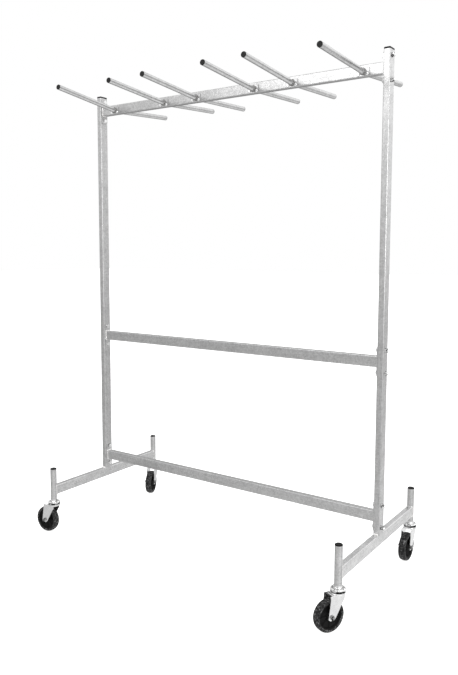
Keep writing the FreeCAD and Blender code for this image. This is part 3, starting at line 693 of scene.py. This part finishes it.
def make_core(corner):
    node = "caster_%s_core" % corner
    place = SPELT_OUT[corner]
    centre = wheel_centre(corner)
    axle = wheel_axle(corner)
    radius = wheel_radius(node)

    def build(work):
        lathe(work, core_profile(radius), centre, axle, CORE_FLATS)
        for index in range(RIB_COUNT):
            angle = 2 * math.pi * index / RIB_COUNT
            make_rib(work, centre, turn_to(axle), angle, radius - RIM_THICKNESS / 2)

    mesh = mesh_from(node + "_mesh", build)
    core = add_piece("core_" + place, mesh, "core", "wheel_" + place)
    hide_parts(node)


# ---------------------------------------------------------------------------
# Welds

BEAD_SPACING = 0.5 * MM
RAIL_BEAD = 2.2 * MM
FOOT_BEAD = 4.4 * MM
SOCKET_BEAD = 1.8 * MM
ARM_BEAD = 1.5 * MM
ARM_BEAD_CLEARANCE = 0.6 * MM
ARMS_A_SIDE = 6
TUBE_CORNER = 3 * MM


def rounded_rectangle(width, height, corner, steps=6):
    """Corners of a rounded rectangle about the origin, as pairs."""
    points = []
    for quarter, (side, up) in enumerate(((1, 1), (-1, 1), (-1, -1), (1, -1))):
        for step in range(steps + 1):
            angle = math.pi / 2 * (quarter + step / steps)
            x = side * (width / 2 - corner) + corner * math.cos(angle)
            y = up * (height / 2 - corner) + corner * math.sin(angle)
            points.append((x, y))
    return points


def rail_bead_path(rail, side):
    """The line where a rail meets its end plate."""
    low, high = (Vector(corner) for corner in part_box(rail))
    centre = (low + high) / 2
    x = high.x if side > 0 else low.x
    section = rounded_rectangle(high.y - low.y, high.z - low.z, TUBE_CORNER)
    return [Vector((x, centre.y + y, centre.z + z)) for y, z in section]


def foot_bead_path(post, leg, side):
    """The line where a post's front or rear face meets the top of its leg."""
    low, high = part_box(post)
    leg_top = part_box(leg)[1][Z]
    y = low[Y] if side < 0 else high[Y]
    return [
        Vector((low[X] + TUBE_CORNER, y, leg_top)),
        Vector((high[X] - TUBE_CORNER, y, leg_top)),
    ]


def make_frame_welds():
    def build(work):
        for rail in RAILS:
            for side in (-1, 1):
                path = evenly(rail_bead_path(rail, side), BEAD_SPACING, True)
                bead(work, path, RAIL_BEAD, True)
        for name in ("left", "right"):
            for side in (-1, 1):
                path = foot_bead_path(name + "_post", name + "_leg", side)
                bead(work, evenly(path, BEAD_SPACING, False), FOOT_BEAD, False)

    piece = add_piece("frame_welds", mesh_from("frame_welds", build), "weld", "frame")
    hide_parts("weld_beads")


def socket_bead_path(leg, socket):
    """The saddle line where a rectangular leg meets a round socket."""
    low, high = (Vector(corner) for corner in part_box(leg))
    socket_low, socket_high = (Vector(corner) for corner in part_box(socket))
    centre = (socket_low + socket_high) / 2
    radius = (socket_high.x - socket_low.x) / 2
    inward = -1 if centre.y > 0 else 1
    path = []
    for x, z in rounded_rectangle(high.x - low.x, high.z - low.z, TUBE_CORNER):
        y = centre.y + inward * math.sqrt(radius**2 - x**2)
        path.append(Vector((centre.x + x, y, (low.z + high.z) / 2 + z)))
    return path


def make_socket_welds():
    for corner in CORNERS:
        leg = "left_leg" if corner.endswith("l") else "right_leg"
        socket = "socket_" + SPELT_OUT[corner]

        def build(work):
            path = evenly(socket_bead_path(leg, socket), BEAD_SPACING, True)
            bead(work, path, SOCKET_BEAD, True)

        name = "socket_weld_" + SPELT_OUT[corner]
        add_piece(name, mesh_from(name, build), "weld", "frame")


def arm_root_ring(arm, steps=120):
    """The circle on a foot plate's face where the arm is welded on."""
    pin = mount(arm)
    axis = Vector(pin["axis"]).normalized()
    root = Vector(pin["pos_m"]) - axis * (pin["dims"]["length_mm"] / 2) * MM
    radius = pin["dims"]["r_mm"] * MM + ARM_BEAD_CLEARANCE
    turn = turn_to(axis)
    return [root + turn @ (spoke_at(2 * math.pi * step / steps) * radius) for step in range(steps)]


def make_arm_welds():
    """A rippled bead round the root of every arm, over the smooth fillet of the tube."""
    for side in ("front", "rear"):
        for number in range(1, ARMS_A_SIDE + 1):
            arm = "%s_arm_%d" % (side, number)

            def build(work):
                bead(work, arm_root_ring(arm), ARM_BEAD, True)

            mesh = mesh_from(arm + "_weld", build)
            add_piece(arm + "_weld", mesh, "shaded_arm_weld", "frame")


# ---------------------------------------------------------------------------
# Studio


def make_floor():
    """A wide floor that the camera sees and the steel doesn't reflect."""
    mesh = bpy.data.meshes.new("studio_floor")
    half = 30.0
    corners = [(-half, -half, 0), (half, -half, 0), (half, half, 0), (-half, half, 0)]
    mesh.from_pydata(corners, [], [(0, 1, 2, 3)])
    floor = bpy.data.objects.new("studio_floor", mesh)
    bpy.context.scene.collection.objects.link(floor)
    paint(floor, "floor")
    floor.visible_glossy = False
    floor.visible_diffuse = False


# How bright the studio is at each height of the view, from straight down to straight up.
STUDIO_HEIGHTS = [
    (-1.0, 0.85),
    (-0.53, 0.78),
    (-0.44, 0.72),
    (-0.26, 0.55),
    (-0.1, 0.47),
    (0.03, 0.71),
    (0.15, 0.77),
    (0.3, 0.92),
    (0.42, 0.96),
    (1.0, 0.8),
]
# How bright it is around the rack, by the angle from +X in degrees.
STUDIO_AROUND = [
    (-180, 0.6),
    (-135, 0.66),
    (-112, 0.74),
    (-60, 0.85),
    (-20, 1.0),
    (20, 0.8),
    (45, 0.74),
    (62, 1.0),
    (85, 0.88),
    (120, 0.42),
    (150, 0.4),
    (180, 0.6),
]
STUDIO_STRENGTH = 1.6


def studio_colour(tree):
    """How bright the room is in each direction: its level by height times its level around."""
    place = tree.nodes.new("ShaderNodeTexCoord").outputs["Generated"]
    parts = tree.nodes.new("ShaderNodeSeparateXYZ")
    tree.links.new(place, parts.inputs["Vector"])
    height = tree.nodes.new("ShaderNodeMapRange")
    height.inputs["From Min"].default_value = -1.0
    tree.links.new(parts.outputs["Z"], height.inputs["Value"])
    around = tree.nodes.new("ShaderNodeTexGradient")
    around.gradient_type = "RADIAL"
    tree.links.new(place, around.inputs["Vector"])
    by_height = [((level + 1) / 2, grey) for level, grey in STUDIO_HEIGHTS]
    by_angle = [(angle / 360 + 0.5, grey) for angle, grey in STUDIO_AROUND]
    return multiply_colours(
        tree,
        colour_ramp(tree, height.outputs["Result"], by_height),
        colour_ramp(tree, around.outputs["Fac"], by_angle),
    )


def make_world():
    """White to the eye. What lights the rack is a room with a grey floor and pale walls."""
    world = bpy.data.worlds.new("studio")
    bpy.context.scene.world = world
    world.use_nodes = True
    tree = world.node_tree
    tree.nodes.clear()
    lighting = tree.nodes.new("ShaderNodeBackground")
    lighting.inputs["Strength"].default_value = STUDIO_STRENGTH
    tree.links.new(studio_colour(tree), lighting.inputs["Color"])
    seen = tree.nodes.new("ShaderNodeBackground")
    seen.inputs["Color"].default_value = (1, 1, 1, 1)
    path = tree.nodes.new("ShaderNodeLightPath")
    mix = tree.nodes.new("ShaderNodeMixShader")
    output = tree.nodes.new("ShaderNodeOutputWorld")
    tree.links.new(path.outputs["Is Camera Ray"], mix.inputs["Fac"])
    tree.links.new(lighting.outputs[0], mix.inputs[1])
    tree.links.new(seen.outputs[0], mix.inputs[2])
    tree.links.new(mix.outputs[0], output.inputs["Surface"])


def soft_light(name, place, target, size, power):
    """A rectangular lamp that the steel reflects and the camera doesn't see."""
    data = bpy.data.lights.new(name, "AREA")
    data.shape = "RECTANGLE"
    data.size = size[0]
    data.size_y = size[1]
    data.energy = power
    lamp = bpy.data.objects.new(name, data)
    bpy.context.scene.collection.objects.link(lamp)
    lamp.location = place
    lamp.visible_camera = False
    lamp.rotation_euler = (Vector(target) - Vector(place)).to_track_quat("-Z", "Y").to_euler()


def make_lights():
    """A wide key lamp that whitens the top of the rack, and one for the right-hand sides."""
    upper_rack = (0.3, 0, 1.4)
    soft_light("key", (-1.5, -4.8, 3.65), upper_rack, size=(3.0, 1.5), power=32)
    soft_light("edge", (4.3, -1.5, 1.6), upper_rack, size=(1.6, 1.6), power=40)


# The camera, to the right of the rack and almost level. Its angles are in degrees.
CAMERA_PLACE = (1.5012, -2.142, 1.14035)
CAMERA_HEADING = 34.767
CAMERA_DIP = 5.369
CAMERA_ROLL = 0.111
CAMERA_LENS = 36.918
CAMERA_SHIFT = (0.0012, -0.0319)


def make_camera():
    data = bpy.data.cameras.new("camera")
    data.lens = CAMERA_LENS
    data.shift_x, data.shift_y = CAMERA_SHIFT
    camera = bpy.data.objects.new("camera", data)
    bpy.context.scene.collection.objects.link(camera)
    camera.location = CAMERA_PLACE
    heading = Matrix.Rotation(math.radians(CAMERA_HEADING), 3, "Z")
    dip = Matrix.Rotation(math.radians(90 - CAMERA_DIP), 3, "X")
    roll = Matrix.Rotation(math.radians(CAMERA_ROLL), 3, "Z")
    camera.rotation_euler = (heading @ dip @ roll).to_euler()
    bpy.context.scene.camera = camera


paint_cad_nodes()
soften_cad_edges()
for corner in CORNERS:
    make_tyre(corner)
    make_core(corner)
make_frame_welds()
make_socket_welds()
make_arm_welds()
make_floor()
make_world()
make_lights()
make_camera()
bpy.context.scene.view_settings.view_transform = "Standard"
